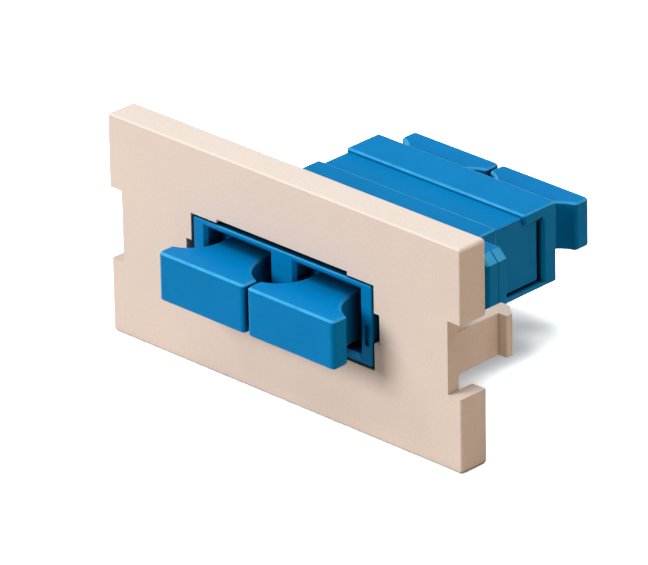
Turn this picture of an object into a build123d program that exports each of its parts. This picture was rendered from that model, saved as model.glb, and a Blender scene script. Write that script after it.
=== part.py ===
from build123d import *
import os

# A duplex SC fibre adapter in a 50 x 25 mm snap-in faceplate module, with its four dust plugs.
# The origin is the centre of the faceplate's front face. +X runs along the plate, +Z is up, and
# the adapter reaches back along +Y. All sizes are millimetres.

# Port sizes, which the whole adapter is built around
port_pitch = 12.7
port_width = 9.0
port_height = 7.4
mouth_chamfer = 0.4
key_slot_width = 2.8
key_slot_depth = 0.5
key_slot_length = 8.0

# Adapter housing, made of two halves that meet at the middle of the flange
side_wall = 1.85
roof_wall = 0.85
front_length = 14.3
rear_length = 13.3
edge_radius = 0.25
face_chamfer = 0.12
flange_thickness = 1.5
flange_reach = 4.15
flange_corner = 1.0
flange_rim_bevel = 0.25
joint_bevel = 0.08

# Raised collar at each mouth, the clip seat behind it, and the slits in the sides
collar_length = 4.85
seat_length = 4.3
seat_depth = 0.4
seat_edge_bevel = 0.2
seat_top_margin = 1.25
seat_corner_radius = 0.5
slit_from_mouth = 2.0
slit_width = 0.6
slit_depth = 1.4
slit_top_margin = 1.5
slit_edge_bevel = 0.3
ledge_height = 0.5
ledge_slit_width = 0.4
ledge_slit_depth = 1.2

# Pocket in each side that the faceplate's snap ridge drops into
pocket_from_seat = 0.65
pocket_length = 1.5
pocket_depth = 0.65
pocket_height = 3.6

# Dimples in the mouth face, either side of each port
dimple_offset = 1.1
dimple_drop = 1.2
dimple_height = 2.4
dimple_width = 0.6
dimple_depth = 0.3

# Alignment sleeve
ferrule_bore = 2.5
sleeve_outside = 3.2
sleeve_length = 11.4
sleeve_slit = 0.5
sleeve_bevel = 0.15

# Sleeve holder with its pair of latch hooks
holder_flange_thickness = 0.95
holder_flange_side_lip = 0.45
holder_flange_roof_lip = 0.3
holder_fit = 0.05
holder_tube_wall = 0.65
sleeve_radial_play = 0.08
sleeve_end_play = 0.1
holder_end_lip = 0.4
holder_mouth_play = 0.25
hook_length = 7.2
hook_thickness = 0.8
hook_height = 3.8
hook_barb = 0.55
hook_barb_length = 1.0
hook_play = 0.15

# Dust plug
plug_grip_out = 5.4
plug_bar_gap = 0.45
plug_bar_height = 5.5
plug_bar_thickness = 2.1
plug_bar_drop = 0.3
plug_neck_width = 6.3
plug_neck_flare = 4.2
plug_flare_rise = 1.35
plug_flare_reach = 1.7
plug_corner_radius = 0.5
plug_edge_bevel = 0.22
plug_body_start = 2.2
plug_body_end = 9.0
plug_front_wall = 0.7
plug_wall = 0.5
plug_fit = 0.07
plug_lead_in = 0.3
plug_body_radius = 0.4

# Faceplate, a shallow tray open at the back
plate_width = 50.0
plate_height = 25.0
plate_depth = 3.6
plate_skin = 1.6
plate_edge_wall = 1.5
plate_corner_radius = 0.4
plate_front_bevel = 0.15
notch_depth = 1.8
notch_height = 8.2
opening_side_gap = 0.3
opening_roof_gap = 0.25
relief_width = 18.6
relief_height = 0.4
window_depth = 0.75
window_height = 3.4

# Collar behind the opening, with a snap tongue in each side
socket_wall = 1.2
tongue_thickness = 1.1
tongue_gap = 0.5
tongue_short = 0.8
ridge_land = 0.45
ridge_ramp = 1.5
ridge_play = 0.05

# Latch arms that hold the faceplate in its frame
arm_thickness = 1.5
arm_height = 4.7
arm_length = 9.5
arm_catch = 7.5
arm_hook_reach = 1.1
arm_hook_land = 0.9
arm_tip_set_back = 0.35
arm_root_radius = 0.6
arm_edge_radius = 0.15

# Sizes that follow from the ones above
body_width = port_pitch + port_width + 2 * side_wall
body_height = port_height + 2 * roof_wall
adapter_length = front_length + rear_length
mid_plane = front_length
opening_width = body_width + 2 * opening_side_gap
opening_height = body_height + 2 * opening_roof_gap
port_centres = {"left": -port_pitch / 2, "right": port_pitch / 2}
plug_bar_width = port_pitch - plug_bar_gap
plug_body_width = port_width - 2 * plug_fit
plug_body_height = port_height - 2 * plug_fit
cavity_width = plug_body_width - 2 * plug_wall
cavity_height = plug_body_height - 2 * plug_wall
sleeve_seat_radius = sleeve_outside / 2 + sleeve_radial_play
holder_tube_radius = sleeve_seat_radius + holder_tube_wall
holder_tube_length = sleeve_length / 2 + sleeve_end_play + holder_end_lip
catch_from_mouth = collar_length + seat_length + pocket_from_seat


def along_y(outline, start, end):
    """Carries an outline in X and Z along Y, from start to end."""
    return extrude(Plane.XZ.offset(-start) * outline, amount=start - end)


def standing(outline, height):
    """Carries an outline in X and Y along Z, centred on the port axes."""
    return extrude(Pos(0, 0, -height / 2) * outline, amount=height)


def block(x_low, x_high, y_low, y_high, z_low, z_high):
    """Gives the straight-sided space between two corners."""
    size = (x_high - x_low, y_high - y_low, z_high - z_low)
    centre = ((x_high + x_low) / 2, (y_high + y_low) / 2, (z_high + z_low) / 2)
    return Pos(*centre) * Box(*size)


def both_sides(shape):
    """Gives a shape and its mirror image across the middle of the part."""
    return shape + mirror(shape, Plane.YZ)


def facing_back(shape):
    """Turns a piece built for the front mouth round, and sets it at the rear mouth."""
    return Pos(0, adapter_length, 0) * Rot(0, 0, 180) * shape


def facing_back_inverted(shape):
    """The same, with the piece upside down."""
    return Pos(0, adapter_length, 0) * Rot(180, 0, 0) * shape


# Adapter housing

def port_space(centre, length):
    """One port: its lead-in, its straight walls and its key slot, from the mouth inwards."""
    mouth = Rectangle(port_width + 2 * mouth_chamfer, port_height + 2 * mouth_chamfer)
    throat = Rectangle(port_width, port_height)
    lead_in = loft([Plane.XZ * mouth, Plane.XZ.offset(-mouth_chamfer) * throat])
    key_floor = -port_height / 2 - key_slot_depth
    key = block(-key_slot_width / 2, key_slot_width / 2, 0, key_slot_length, key_floor, 0)
    return Pos(centre, 0, 0) * (lead_in + along_y(throat, 0, length) + key)


def holder_pocket(centre, length):
    """The seat at the inner end of a port that clamps a sleeve holder's flange."""
    outline = Rectangle(port_width + 2 * holder_flange_side_lip, port_height + 2 * holder_flange_roof_lip)
    return Pos(centre, 0, 0) * along_y(outline, length - holder_flange_thickness, length)


def mouth_dimples(centre):
    """The pair of narrow dimples in the mouth face, beside one port and a little below its axis."""
    outline = SlotOverall(dimple_height, dimple_width, rotation=90)
    dimple = Pos(0, 0, -dimple_drop) * along_y(outline, 0, dimple_depth)
    offset = port_width / 2 + dimple_offset
    return Pos(centre - offset, 0, 0) * dimple + Pos(centre + offset, 0, 0) * dimple


def clip_seat():
    """The shallow band over the roof and the sides, behind the raised mouth collar."""
    start = collar_length
    end = collar_length + seat_length
    side = body_width / 2
    roof = body_height / 2
    floor = ledge_height - roof
    over_roof = block(-side, side, start, end, roof - seat_depth, roof)
    outline = make_face(Polyline(
        (slit_from_mouth, floor),
        (end, floor),
        (end, roof),
        (start, roof),
        (start, roof - seat_top_margin),
        (slit_from_mouth, roof - seat_top_margin),
        close=True,
    ))
    inner_corner = [v for v in outline.vertices() if abs(v.X - start) < 0.01 and v.Y < roof - 0.01]
    outline = fillet(inner_corner, seat_corner_radius)
    over_side = Pos(side - seat_depth, 0, 0) * extrude(Plane.YZ * outline, amount=seat_depth)
    return over_roof + both_sides(over_side)


def side_slits(length):
    """The upright slit near each mouth corner and the fine slit above the bottom ledge."""
    side = body_width / 2
    roof = body_height / 2
    floor = ledge_height - roof
    slit_end = slit_from_mouth + slit_width
    top = roof - slit_top_margin
    upright = block(side - slit_depth, side, slit_from_mouth, slit_end, floor, top)
    bevel = make_face(Polyline(
        (side, slit_from_mouth),
        (side - slit_edge_bevel, slit_from_mouth),
        (side, slit_from_mouth - slit_edge_bevel),
        close=True,
    ))
    upright += Pos(0, 0, floor) * extrude(bevel, amount=top - floor)
    ledge_end = length - flange_thickness
    low = floor + ledge_slit_width
    fine = block(side - ledge_slit_depth, side, slit_from_mouth, ledge_end, floor, low)
    return both_sides(upright + fine)


def snap_pockets():
    """The pocket in each side wall that a snap ridge drops into."""
    side = body_width / 2
    start = catch_from_mouth
    half = pocket_height / 2
    return both_sides(block(side - pocket_depth, side, start, start + pocket_length, -half, half))


def on_collar_rim(point):
    """Tells whether a point lies on the upper rim of the mouth collar, at the clip seat's side."""
    return abs(point.Y - collar_length) < 0.01 and point.Z > body_height / 2 - edge_radius


def housing_flange(length):
    """Half of the flange, with its outer rim bevelled, and its joint face at Y = length."""
    outline = Rectangle(body_width + 2 * flange_reach, body_height)
    outline = chamfer(outline.vertices(), flange_corner)
    flange = along_y(outline, length - flange_thickness, length)
    return chamfer(flange.faces().sort_by(Axis.Y)[0].edges(), flange_rim_bevel)


def housing_half(length):
    """Half of the adapter's housing, with its mouth face at Y = 0 and its joint face at Y = length."""
    body = along_y(RectangleRounded(body_width, body_height, edge_radius), 0, length)
    body = chamfer(body.faces().sort_by(Axis.Y)[0].edges(), face_chamfer)
    body -= clip_seat()
    collar_edges = [edge for edge in body.edges() if on_collar_rim(edge.center())]
    body = chamfer(collar_edges, seat_edge_bevel) + housing_flange(length)
    body = chamfer(body.faces().sort_by(Axis.Y)[-1].edges(), joint_bevel)
    body -= side_slits(length) + snap_pockets()
    for centre in port_centres.values():
        body -= port_space(centre, length) + holder_pocket(centre, length) + mouth_dimples(centre)
    return body


# Sleeve holders and alignment sleeves

def latch_hook():
    """One latch hook, with its barb turned towards the port's axis."""
    outer = cavity_width / 2 - hook_play
    inner = outer - hook_thickness
    root = -holder_flange_thickness
    tip = root - hook_length
    barb_back = tip + 2 * hook_barb_length
    outline = Polyline(
        (outer, root / 2),
        (outer, tip + hook_barb),
        (inner, tip),
        (inner - hook_barb, tip + hook_barb_length),
        (inner, barb_back),
        (inner, root / 2),
        close=True,
    )
    return standing(make_face(outline), hook_height)


def sleeve_holder():
    """Half of a port's inner carrier: flange, sleeve tube and two latch hooks, reaching to -Y."""
    flange_width = port_width + 2 * holder_flange_side_lip - 2 * holder_fit
    flange_height = port_height + 2 * holder_flange_roof_lip - 2 * holder_fit
    flange = along_y(RectangleRounded(flange_width, flange_height, edge_radius), -holder_flange_thickness, 0)
    tube = along_y(Circle(holder_tube_radius), -holder_tube_length, 0)
    tube = chamfer(tube.faces().sort_by(Axis.Y)[0].edges(), holder_tube_wall / 3)
    seat = along_y(Circle(sleeve_seat_radius), -holder_tube_length + holder_end_lip, 0)
    mouth = along_y(Circle(ferrule_bore / 2 + holder_mouth_play), -holder_tube_length, 0)
    return flange + tube + both_sides(latch_hook()) - seat - mouth


def alignment_sleeve():
    """The split ceramic sleeve that lines up two ferrules, centred on the origin."""
    ring = Circle(sleeve_outside / 2) - Circle(ferrule_bore / 2)
    sleeve = along_y(ring, -sleeve_length / 2, sleeve_length / 2)
    ends = sleeve.faces().sort_by(Axis.Y)
    sleeve = chamfer(ends[0].edges() + ends[-1].edges(), sleeve_bevel)
    half = sleeve_length / 2
    slit = block(-sleeve_slit / 2, sleeve_slit / 2, -half, half, 0, sleeve_outside)
    return sleeve - slit


# Dust plugs

def plug_grip():
    """The plug's finger grip: a bar that narrows to a neck on two hollow flanks."""
    front = -plug_grip_out
    back = front + plug_bar_thickness
    wide = plug_bar_width / 2
    narrow = plug_neck_width / 2
    flare_end = back + plug_neck_flare
    flank_middle = (narrow + plug_flare_reach * 0.5, back + plug_flare_rise)
    bar = Polyline((0, front), (wide, front), (wide, back))
    flank = ThreePointArc((wide, back), flank_middle, (narrow, flare_end))
    neck = Polyline((narrow, flare_end), (narrow, plug_body_start), (0, plug_body_start), (0, front))
    outline = both_sides(make_face(bar + flank + neck))
    bar_corners = outline.vertices().group_by(Axis.Y)[0] + outline.vertices().group_by(Axis.Y)[1]
    outline = fillet(bar_corners, plug_corner_radius)
    grip = standing(outline, plug_bar_height)
    flats = grip.faces().filter_by(Axis.Z)
    rim = [edge for face in flats for edge in face.edges() if edge.center().Y < plug_body_start - 0.01]
    return Pos(0, 0, -plug_bar_drop) * chamfer(rim, plug_edge_bevel)


def plug_body():
    """The hollow sleeve of the plug that fills the port, open at its inner end."""
    shell = along_y(
        RectangleRounded(plug_body_width, plug_body_height, plug_body_radius),
        plug_body_start,
        plug_body_end,
    )
    shell = chamfer(shell.faces().sort_by(Axis.Y)[-1].outer_wire().edges(), plug_lead_in)
    cavity = along_y(
        Rectangle(cavity_width, cavity_height),
        plug_body_start + plug_front_wall,
        plug_body_end,
    )
    return shell - cavity


def dust_plug():
    """A dust plug for the front mouth, on the port's axis."""
    return plug_grip() + plug_body()


# Faceplate

def plate_tray():
    """The tray: front skin and rim, with the end notches and the opening for the adapter."""
    tray = along_y(RectangleRounded(plate_width, plate_height, plate_corner_radius), 0, plate_depth)
    tray = chamfer(tray.faces().sort_by(Axis.Y)[0].edges(), plate_front_bevel)
    hollow = Rectangle(plate_width - 2 * notch_depth, plate_height - 2 * plate_edge_wall)
    tray -= along_y(hollow, plate_skin, plate_depth)
    end = plate_width / 2
    half = notch_height / 2
    tray -= both_sides(block(end - notch_depth, end, 0, plate_depth, -half, half))
    return tray - opening_space()


def opening_space():
    """The rectangular opening, its roof relief and the tool window in front of each snap ridge."""
    opening = along_y(Rectangle(opening_width, opening_height), 0, plate_skin)
    roof = opening_height / 2
    side = opening_width / 2
    half = window_height / 2
    relief = block(-relief_width / 2, relief_width / 2, 0, plate_skin, 0, roof + relief_height)
    window = block(0, side + window_depth, 0, plate_skin, -half, half)
    return opening + relief + both_sides(window)


def socket_collar():
    """The collar behind the opening that the adapter's flange stops against."""
    end = mid_plane - flange_thickness
    outer = Rectangle(opening_width + 2 * socket_wall, opening_height + 2 * socket_wall)
    collar = along_y(outer - Rectangle(opening_width, opening_height), plate_skin, end)
    side = opening_width / 2
    half = window_height / 2 + tongue_gap
    return collar - both_sides(block(side, side + socket_wall, plate_skin, end, -half, half))


def snap_tongue():
    """The right-hand spring tongue, with the ridge that drops into the adapter's side pocket."""
    inner = opening_width / 2 + window_depth
    outer = inner + tongue_thickness
    crest = body_width / 2 - pocket_depth + ridge_play
    catch = catch_from_mouth + ridge_play
    end = mid_plane - flange_thickness - tongue_short
    outline = Polyline(
        (outer, plate_skin),
        (outer, end),
        (inner, end),
        (inner, catch + ridge_land + ridge_ramp),
        (crest, catch + ridge_land),
        (crest, catch),
        (inner, catch),
        (inner, plate_skin),
        close=True,
    )
    return standing(make_face(outline), window_height)


def latch_arm():
    """The right-hand latch arm, with its outward hook and sloping tip."""
    outer = plate_width / 2 - notch_depth
    inner = outer - arm_thickness
    crest = outer + arm_hook_reach
    outline = make_face(Polyline(
        (inner, plate_skin),
        (inner, arm_length),
        (outer - arm_tip_set_back, arm_length),
        (crest, arm_catch + arm_hook_land),
        (crest, arm_catch),
        (outer, arm_catch),
        (outer, plate_skin),
        close=True,
    ))
    rounded = [v for v in outline.vertices() if v.Y > arm_catch - 0.01 and v.X != outer]
    arm = standing(fillet(rounded, arm_edge_radius), arm_height)
    root = block(inner - arm_root_radius, inner, plate_skin, plate_skin + arm_root_radius,
                 -arm_height / 2, arm_height / 2)
    hollow = Pos(inner - arm_root_radius, plate_skin + arm_root_radius, 0)
    return arm + (root - hollow * Cylinder(arm_root_radius, arm_height))


def faceplate():
    """The whole moulded faceplate."""
    return plate_tray() + socket_collar() + both_sides(snap_tongue() + latch_arm())


# Assembly

def all_pieces():
    """Gives every piece in its place, by name."""
    pieces = {
        "faceplate": faceplate(),
        "front_housing": housing_half(front_length),
        "rear_housing": facing_back(housing_half(rear_length)),
    }
    holder = sleeve_holder()
    plug = dust_plug()
    for side, centre in port_centres.items():
        front = Pos(centre, mid_plane, 0)
        pieces[f"front_sleeve_holder_{side}"] = front * holder
        pieces[f"rear_sleeve_holder_{side}"] = front * Rot(0, 0, 180) * holder
        pieces[f"alignment_sleeve_{side}"] = front * alignment_sleeve()
        pieces[f"front_dust_plug_{side}"] = Pos(centre, 0, 0) * plug
        pieces[f"rear_dust_plug_{side}"] = facing_back_inverted(Pos(centre, 0, 0) * plug)
    return pieces


os.makedirs("parts", exist_ok=True)
for name, piece in all_pieces().items():
    export_step(piece, f"parts/{name}.step")
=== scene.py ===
import math
from typing import NamedTuple

import bmesh
import bpy
from mathutils import Matrix, Vector


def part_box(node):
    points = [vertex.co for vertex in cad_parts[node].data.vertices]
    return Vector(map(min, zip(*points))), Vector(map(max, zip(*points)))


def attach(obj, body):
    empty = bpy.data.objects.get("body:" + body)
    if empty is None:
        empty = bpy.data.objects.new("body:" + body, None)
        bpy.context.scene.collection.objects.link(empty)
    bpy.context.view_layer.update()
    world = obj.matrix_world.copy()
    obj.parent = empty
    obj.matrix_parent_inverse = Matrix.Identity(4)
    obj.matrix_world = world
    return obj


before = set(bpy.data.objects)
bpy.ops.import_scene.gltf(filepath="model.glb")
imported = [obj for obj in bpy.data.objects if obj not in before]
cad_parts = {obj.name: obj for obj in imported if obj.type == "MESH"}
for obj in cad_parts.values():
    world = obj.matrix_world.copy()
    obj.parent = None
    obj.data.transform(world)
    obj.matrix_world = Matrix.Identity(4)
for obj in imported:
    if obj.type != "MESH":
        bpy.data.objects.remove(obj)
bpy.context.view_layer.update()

MM = 0.001
WHITE = (1.0, 1.0, 1.0)


def set_input(node, name, value):
    node.inputs[name].default_value = value


def shade(colour, factor):
    """A colour made lighter or darker, with full alpha."""
    return tuple(min(1, channel * factor) for channel in colour) + (1,)


def add_to_scene(name, data):
    made = bpy.data.objects.new(name, data)
    bpy.context.scene.collection.objects.link(made)
    return made


# Node materials

# A Mix node has sockets for numbers, vectors and colours in one row. These are its factor and the colour's
MIX_FACTOR = 0
MIX_FIRST = 6
MIX_SECOND = 7
MIX_RESULT = 2

OCCLUSION_SAMPLES = 8
BEVEL_SAMPLES = 6

# How far up a normal points, at the start and the end of two fades: away from the sides, away from the tops
OFF_THE_SIDES = (0.30, 0.50)
OFF_THE_TOPS = (0.985, 0.92)


class Material:
    """A node material on object coordinates. The sizes given to its methods are in mm."""

    def __init__(self, name):
        self.material = bpy.data.materials.new(name)
        self.material.use_nodes = True
        self.tree = self.material.node_tree
        self.shader = self.tree.nodes["Principled BSDF"]
        self.coords = self.tree.nodes.new("ShaderNodeTexCoord").outputs["Object"]

    def node(self, kind, **settings):
        made = self.tree.nodes.new(kind)
        for key, value in settings.items():
            setattr(made, key, value)
        return made

    def link(self, source, target):
        self.tree.links.new(source, target)

    def noise(self, size, detail=3, stretch=(1, 1, 1)):
        mapping = self.node("ShaderNodeMapping")
        set_input(mapping, "Scale", stretch)
        self.link(self.coords, mapping.inputs["Vector"])
        noise = self.node("ShaderNodeTexNoise")
        set_input(noise, "Scale", 1 / (size * MM))
        set_input(noise, "Detail", detail)
        self.link(mapping.outputs["Vector"], noise.inputs["Vector"])
        return noise.outputs["Fac"]

    def clouded(self, colour, cloud, stops, tones):
        """The colour times one tone at the cloud's low stop, and times the other at its high stop."""
        ramp = self.node("ShaderNodeValToRGB")
        for element, position, tone in zip(ramp.color_ramp.elements, stops, tones):
            element.position = position
            element.color = shade(colour, tone)
        self.link(cloud, ramp.inputs["Fac"])
        return ramp.outputs["Color"]

    def map_range(self, source, low, high, side):
        mapped = self.node("ShaderNodeMapRange")
        set_input(mapped, side + " Min", low)
        set_input(mapped, side + " Max", high)
        self.link(source, mapped.inputs["Value"])
        return mapped.outputs["Result"]

    def spread(self, source, low, high):
        """0 to 1 turned into low to high."""
        return self.map_range(source, low, high, "To")

    def fade(self, source, start, end):
        """0 at the start and before it, 1 at the end and past it. The end may be the lower one."""
        return self.map_range(source, start, end, "From")

    def math(self, operation, first, second):
        made = self.node("ShaderNodeMath", operation=operation)
        for socket, value in zip(made.inputs, (first, second)):
            self.link(value, socket)
        return made.outputs[0]

    def scaled(self, colour, factor):
        scaled = self.node("ShaderNodeVectorMath", operation="SCALE")
        self.link(colour, scaled.inputs[0])
        self.link(factor, scaled.inputs["Scale"])
        return scaled.outputs[0]

    def blend(self, factor, first, second):
        """From the first colour to the second one, which is a plain colour."""
        mix = self.node("ShaderNodeMix", data_type="RGBA")
        self.link(factor, mix.inputs[MIX_FACTOR])
        self.link(first, mix.inputs[MIX_FIRST])
        mix.inputs[MIX_SECOND].default_value = second
        return mix.outputs[MIX_RESULT]

    def openness(self, reach, closed, opened):
        """0 where surfaces within reach close a place in, 1 where it lies open."""
        occlusion = self.node("ShaderNodeAmbientOcclusion", samples=OCCLUSION_SAMPLES)
        set_input(occlusion, "Distance", reach * MM)
        return self.fade(occlusion.outputs["AO"], closed, opened)

    def rounding(self, radius):
        """The normal of a small rounding along every sharp edge."""
        bevel = self.node("ShaderNodeBevel", samples=BEVEL_SAMPLES)
        set_input(bevel, "Radius", radius * MM)
        return bevel.outputs["Normal"]

    def upper_edges(self, radius):
        """1 along the edges and bevels that face halfway up, 0 on the flats."""
        split = self.node("ShaderNodeSeparateXYZ")
        self.link(self.rounding(radius), split.inputs[0])
        fades = [self.fade(split.outputs["Z"], *ends) for ends in (OFF_THE_SIDES, OFF_THE_TOPS)]
        return self.math("MULTIPLY", *fades)

    def bump(self, height, depth, normal):
        bump = self.node("ShaderNodeBump")
        set_input(bump, "Distance", depth * MM)
        set_input(bump, "Strength", 1.0)
        self.link(height, bump.inputs["Height"])
        self.link(normal, bump.inputs["Normal"])
        return bump.outputs["Normal"]


class Plastic(NamedTuple):
    """How a moulded plastic looks. Colours are linear, sizes in mm."""

    colour: tuple
    gloss: float
    gloss_tint: tuple
    roughness: tuple
    # The spark-eroded grain, and how much it and the slow clouding vary the colour
    grain_size: float
    grain_depth: float
    speckle: float
    clouding: float
    # The radius of its edges, and the painted highlight along its upper edges: its strength, colour and
    # reach
    rounding: float
    painted_highlight: float
    painted_highlight_colour: tuple
    painted_highlight_reach: float
    # Painted shade in deep places: how closed in they are at both ends of the darkening, and what it leaves
    # of the colour
    depth_range: tuple
    depth_left: float


IVORY = Plastic(
    colour=(0.775, 0.645, 0.572),
    gloss=0.10,
    gloss_tint=WHITE,
    roughness=(0.48, 0.62),
    grain_size=0.27,
    grain_depth=0.018,
    speckle=0.075,
    clouding=0.012,
    rounding=0.10,
    painted_highlight=0.16,
    painted_highlight_colour=(0.90, 0.80, 0.72),
    painted_highlight_reach=0.20,
    depth_range=(0.05, 0.35),
    depth_left=0.35,
)
HOUSING_BLUE = Plastic(
    colour=(0.001, 0.205, 0.495),
    gloss=0.045,
    gloss_tint=(0.12, 0.70, 1.0),
    roughness=(0.27, 0.37),
    grain_size=0.24,
    grain_depth=0.008,
    speckle=0.12,
    clouding=0.045,
    rounding=0.20,
    painted_highlight=0.80,
    painted_highlight_colour=(0.08, 0.48, 0.82),
    painted_highlight_reach=0.22,
    depth_range=(0.20, 0.55),
    depth_left=0.07,
)
HOLDER_BLUE = HOUSING_BLUE._replace(
    roughness=(0.32, 0.44),
    grain_size=0.14,
    speckle=0.08,
    clouding=0.04,
    rounding=0.06,
)
PLUG_BLUE = HOUSING_BLUE._replace(
    colour=(0.001, 0.196, 0.492),
    depth_range=(0.15, 0.58),
    depth_left=0.10,
)

# Sizes in mm of the patterns that all plastics share, and how much they vary. The sink is times the clouding
CLOUD_SIZE = 9.0
CLOUD_STRETCH = (1, 0.6, 1.3)
CLOUD_STOPS = (0.30, 0.70)
SINK_SIZE = 6.5
SINK_DEPTH = 0.4
GLOSS_SIZE = 2.6
# Patches of the painted highlight: their size, and the highlight's strength times this at both ends
HIGHLIGHT_PATCH_SIZE = 2.2
HIGHLIGHT_PATCH_SPREAD = (0.3, 1.2)

# Reach in mm, and how open a place is at both ends of the change. The painted highlight shows only in open
# places, and the painted shade darkens creases and deep places
HIGHLIGHT_OPENNESS = (0.5, 0.82, 0.98)
CREASE_SHADE = (0.8, 0.25, 0.80)
CREASE_SHADE_LEFT = 0.48
DEPTH_SHADE_REACH = 3.0


def moulded_plastic(name, kind):
    """
    Moulded plastic: flow clouding, fine speckle, a spark-eroded grain, slightly uneven gloss,
    a painted highlight along the edges that face halfway up, and painted shade in crevices and depths.
    """
    made = Material(name)
    grain = made.noise(kind.grain_size, detail=2)

    cloud = made.noise(CLOUD_SIZE, detail=4, stretch=CLOUD_STRETCH)
    colour = made.clouded(kind.colour, cloud, CLOUD_STOPS, (1 - kind.clouding, 1 + kind.clouding))
    colour = made.scaled(colour, made.spread(grain, 1 - kind.speckle, 1 + kind.speckle))

    # Painted highlight: a lighter colour along the edges that face halfway up, in patches, only where they
    # lie open
    painted_highlight = made.math("MULTIPLY", made.upper_edges(kind.painted_highlight_reach), made.openness(*HIGHLIGHT_OPENNESS))
    highlight_patches = made.spread(made.noise(HIGHLIGHT_PATCH_SIZE, detail=2), *(kind.painted_highlight * end for end in HIGHLIGHT_PATCH_SPREAD))
    colour = made.blend(made.math("MULTIPLY", painted_highlight, highlight_patches), colour, kind.painted_highlight_colour + (1,))

    # Painted shade: the colour is darkened in creases and in deep places, such as inside the ports
    crease_shade = made.spread(made.openness(*CREASE_SHADE), CREASE_SHADE_LEFT, 1.0)
    depth = made.spread(made.openness(DEPTH_SHADE_REACH, *kind.depth_range), kind.depth_left, 1.0)
    colour = made.scaled(colour, made.math("MULTIPLY", crease_shade, depth))
    made.link(colour, made.shader.inputs["Base Color"])

    uneven = made.noise(GLOSS_SIZE, detail=5)
    made.link(made.spread(uneven, *kind.roughness), made.shader.inputs["Roughness"])
    sink = made.noise(SINK_SIZE, detail=1)
    normal = made.bump(sink, kind.clouding * SINK_DEPTH, made.rounding(kind.rounding))
    made.link(made.bump(grain, kind.grain_depth, normal), made.shader.inputs["Normal"])
    set_input(made.shader, "Specular IOR Level", kind.gloss)
    set_input(made.shader, "Specular Tint", kind.gloss_tint + (1,))
    return made.material


# The ceramic sleeves, with sizes in mm
ZIRCONIA = (0.84, 0.82, 0.77)
ZIRCONIA_CLOUD_SIZE = 1.2
ZIRCONIA_CLOUD_STOPS = (0.35, 0.65)
ZIRCONIA_TONES = (0.97, 1.02)
ZIRCONIA_GLOSS_SIZE = 0.5
ZIRCONIA_ROUGHNESS = (0.08, 0.16)
ZIRCONIA_GRAIN_SIZE = 0.12
ZIRCONIA_GRAIN_DEPTH = 0.002
ZIRCONIA_ROUNDING = 0.05


def ceramic():
    """Polished white zirconia, faintly clouded."""
    made = Material("zirconia")
    cloud = made.noise(ZIRCONIA_CLOUD_SIZE)
    colour = made.clouded(ZIRCONIA, cloud, ZIRCONIA_CLOUD_STOPS, ZIRCONIA_TONES)
    made.link(colour, made.shader.inputs["Base Color"])
    uneven = made.noise(ZIRCONIA_GLOSS_SIZE, detail=2)
    made.link(made.spread(uneven, *ZIRCONIA_ROUGHNESS), made.shader.inputs["Roughness"])
    grain = made.noise(ZIRCONIA_GRAIN_SIZE, detail=2)
    normal = made.bump(grain, ZIRCONIA_GRAIN_DEPTH, made.rounding(ZIRCONIA_ROUNDING))
    made.link(normal, made.shader.inputs["Normal"])
    return made.material


def dress(names, material):
    for name in names:
        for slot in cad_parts[name].material_slots:
            slot.material = material


def each_port(part):
    return [f"{end}_{part}_{side}" for end in ("front", "rear") for side in ("left", "right")]


ivory = moulded_plastic("ivory_plastic", IVORY)
dress(["faceplate"], ivory)
dress(["front_housing", "rear_housing"], moulded_plastic("housing_blue", HOUSING_BLUE))
dress(each_port("sleeve_holder"), moulded_plastic("holder_blue", HOLDER_BLUE))
dress(each_port("dust_plug"), moulded_plastic("plug_blue", PLUG_BLUE))
dress(["alignment_sleeve_left", "alignment_sleeve_right"], ceramic())


# Crush ribs inside the faceplate's collar, which close the slit over and under the adapter. Sizes in mm

# The front housing's half of the flange and half of the collar's opening, as in the CAD
FLANGE_HALF = 1.5
OPENING_HALF_WIDTH = 13.0
OPENING_HALF_HEIGHT = 4.8

RIB_FROM_FLANGE = 0.6
RIB_ROOT = 1.8
RIB_CREST = 0.7
RIB_SUNK = 0.03
RIB_PLAY = 0.01
RIB_BEVEL = 0.04
RIB_BEVEL_STEPS = 2


def crush_rib(name, side, material):
    """A ridge across the collar's roof or floor, wide at its root and narrow where it meets the adapter."""
    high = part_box("front_housing")[1]
    crest = high[2] / MM + RIB_PLAY
    root = OPENING_HALF_HEIGHT + RIB_SUNK
    middle = high[1] / MM - FLANGE_HALF - RIB_FROM_FLANGE - RIB_ROOT / 2
    outline = [(-RIB_ROOT / 2, root), (RIB_ROOT / 2, root), (RIB_CREST / 2, crest), (-RIB_CREST / 2, crest)]
    half = OPENING_HALF_WIDTH - RIB_SUNK
    points = [(x * MM, (middle + y) * MM, side * z * MM) for x in (-half, half) for y, z in outline]
    faces = [(0, 1, 2, 3), (7, 6, 5, 4), (0, 4, 5, 1), (1, 5, 6, 2), (2, 6, 7, 3), (3, 7, 4, 0)]
    mesh = bpy.data.meshes.new(name)
    mesh.from_pydata(points, [], faces)
    shape = bmesh.new()
    shape.from_mesh(mesh)
    bmesh.ops.bevel(
        shape, geom=shape.edges[:], offset=RIB_BEVEL * MM, segments=RIB_BEVEL_STEPS, affect="EDGES"
    )
    bmesh.ops.recalc_face_normals(shape, faces=shape.faces[:])
    shape.to_mesh(mesh)
    shape.free()
    mesh.materials.append(material)
    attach(add_to_scene(name, mesh), "adapter_body")


crush_rib("crush_rib_roof", 1, ivory)
crush_rib("crush_rib_floor", -1, ivory)


# Camera, as fitted to the object's corners in the photo

IMAGE_WIDTH = 648
AZIMUTH = math.radians(44.49)
ELEVATION = math.radians(25.53)
ROLL = math.radians(-1.09)
FOCAL_PIXELS = 7551
PIXELS_PER_MM = 9.792
SENSOR = 36
CLIP = (0.05, 20)

# The point in the picture's middle, in mm to the right of the frame's origin and over it
TARGET_RIGHT = 4.30
TARGET_UP = 0.82


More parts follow.
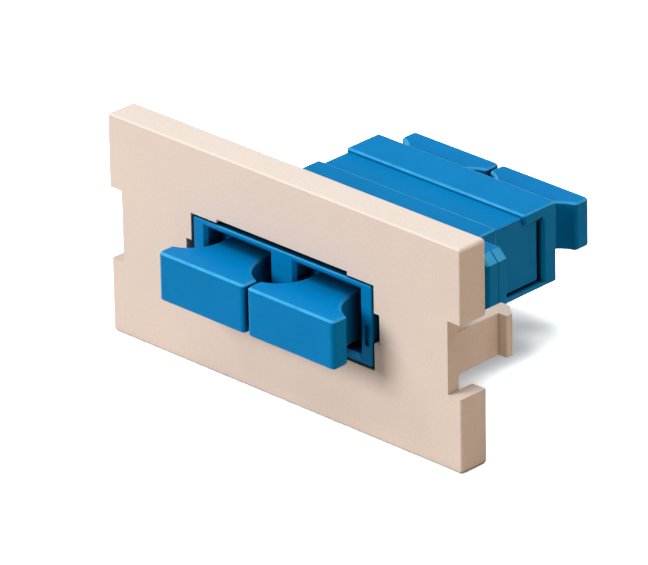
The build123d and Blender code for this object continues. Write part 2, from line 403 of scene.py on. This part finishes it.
def place_camera():
    back = Vector((
        math.sin(AZIMUTH) * math.cos(ELEVATION),
        -math.cos(AZIMUTH) * math.cos(ELEVATION),
        math.sin(ELEVATION),
    ))
    right = Vector((math.cos(AZIMUTH), math.sin(AZIMUTH), 0))
    up = back.cross(right)
    target = right * TARGET_RIGHT + up * TARGET_UP
    place = (target + back * (FOCAL_PIXELS / PIXELS_PER_MM)) * MM
    rolled_right = right * math.cos(ROLL) + up * math.sin(ROLL)
    rolled_up = up * math.cos(ROLL) - right * math.sin(ROLL)
    turn = Matrix((rolled_right, rolled_up, back)).transposed()
    camera = bpy.data.cameras.new("camera")
    camera.sensor_fit = "HORIZONTAL"
    camera.sensor_width = SENSOR
    camera.lens = FOCAL_PIXELS / IMAGE_WIDTH * SENSOR
    camera.clip_start, camera.clip_end = CLIP
    body = add_to_scene("camera", camera)
    body.matrix_world = Matrix.Translation(place) @ turn.to_4x4()
    bpy.context.scene.camera = body


# Lamps, in m: direction from the object, distance, side of the square, power, colour
LAMPS = {
    "key": ((-0.57, -1.0, 0.55), 0.80, 0.34, 5.28, (1.0, 0.995, 0.985)),
    "spark_front": ((-0.63, -0.43, 0.64), 0.50, 0.04, 0.28, WHITE),
    "spark_back": ((0.43, 0.64, 0.63), 0.50, 0.04, 0.24, WHITE),
    "top": ((0.05, 0.06, 1.0), 0.60, 0.36, 2.57, (0.90, 0.98, 1.0)),
    "side": ((1.0, -0.18, 0.12), 0.70, 0.40, 1.30, (1.0, 0.67, 0.40)),
    "back": ((-0.42, 1.0, 0.03), 0.80, 0.36, 1.60, WHITE),
}


def area_light(name, direction, distance, side, power, colour):
    lamp = bpy.data.lights.new(name, "AREA")
    lamp.shape = "SQUARE"
    lamp.size = side
    lamp.energy = power
    lamp.color = colour
    body = add_to_scene(name, lamp)
    aim = Vector(direction).normalized()
    body.location = aim * distance
    body.rotation_euler = aim.to_track_quat("Z", "Y").to_euler()


WORLD_STRENGTH = 0.06

# Where the walls start and end their fade, as the height of a direction, and their brightness at both
CEILING = {"From Min": 0.12, "From Max": 0.40, "To Min": 1.0, "To Max": 0.12}


def seen_directly(tree):
    """1 for rays from the camera and for what gloss and clear parts show, 0 for light on the object."""
    path = tree.nodes.new("ShaderNodeLightPath")
    total = path.outputs["Is Camera Ray"]
    for other in ("Is Glossy Ray", "Is Transmission Ray"):
        add = tree.nodes.new("ShaderNodeMath")
        add.operation = "MAXIMUM"
        tree.links.new(total, add.inputs[0])
        tree.links.new(path.outputs[other], add.inputs[1])
        total = add.outputs[0]
    return total


def build_world():
    """White walls that fade to a dim ceiling, and a faint even light on the object."""
    world = bpy.data.worlds.new("studio")
    world.use_nodes = True
    tree = world.node_tree
    tree.nodes.clear()
    out = tree.nodes.new("ShaderNodeOutputWorld")
    lit = tree.nodes.new("ShaderNodeBackground")
    set_input(lit, "Strength", WORLD_STRENGTH)
    seen = tree.nodes.new("ShaderNodeBackground")
    height = tree.nodes.new("ShaderNodeSeparateXYZ")
    tree.links.new(tree.nodes.new("ShaderNodeTexCoord").outputs["Generated"], height.inputs[0])
    fade = tree.nodes.new("ShaderNodeMapRange")
    for name, value in CEILING.items():
        set_input(fade, name, value)
    tree.links.new(height.outputs["Z"], fade.inputs["Value"])
    tree.links.new(fade.outputs["Result"], seen.inputs["Strength"])
    for background in (lit, seen):
        set_input(background, "Color", WHITE + (1,))
    mix = tree.nodes.new("ShaderNodeMixShader")
    tree.links.new(seen_directly(tree), mix.inputs["Fac"])
    tree.links.new(lit.outputs[0], mix.inputs[1])
    tree.links.new(seen.outputs[0], mix.inputs[2])
    tree.links.new(mix.outputs[0], out.inputs["Surface"])
    bpy.context.scene.world = world


# The floor, with sizes in mm. FLOOR is its colour for light on the object, FLOOR_SEEN the one that shows
FLOOR_HALF = 300
FLOOR_GAP = 0.02
FLOOR_CLOUD_SIZE = 60
FLOOR_TONES = (0.98, 1.02)
FLOOR = (0.380, 0.345, 0.290)
FLOOR_SEEN = (2.50, 2.50, 2.50, 1)


def build_floor():
    """A floor that lights the object as a grey one does and looks white, so only the shadow shows."""
    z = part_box("faceplate")[0][2] - FLOOR_GAP * MM
    half = FLOOR_HALF * MM
    corners = [(-half, -half, z), (half, -half, z), (half, half, z), (-half, half, z)]
    mesh = bpy.data.meshes.new("floor")
    mesh.from_pydata(corners, [], [(0, 1, 2, 3)])
    floor = add_to_scene("floor", mesh)
    made = Material("floor_white")
    lit = made.clouded(FLOOR, made.noise(FLOOR_CLOUD_SIZE, detail=2), CLOUD_STOPS, FLOOR_TONES)
    seen = made.blend(seen_directly(made.tree), lit, FLOOR_SEEN)
    made.link(seen, made.shader.inputs["Base Color"])
    set_input(made.shader, "Roughness", 1.0)
    set_input(made.shader, "Specular IOR Level", 0.0)
    # From below, the camera looks through the floor at the object's underside
    below = made.math(
        "MULTIPLY",
        made.node("ShaderNodeNewGeometry").outputs["Backfacing"],
        made.node("ShaderNodeLightPath").outputs["Is Camera Ray"],
    )
    mix = made.node("ShaderNodeMixShader")
    made.link(below, mix.inputs["Fac"])
    made.link(made.shader.outputs[0], mix.inputs[1])
    made.link(made.node("ShaderNodeBsdfTransparent").outputs[0], mix.inputs[2])
    made.link(mix.outputs[0], made.tree.nodes["Material Output"].inputs["Surface"])
    mesh.materials.append(made.material)


place_camera()
for name, lamp in LAMPS.items():
    area_light(name, *lamp)
build_world()
build_floor()

bpy.context.scene.view_settings.view_transform = "Standard"
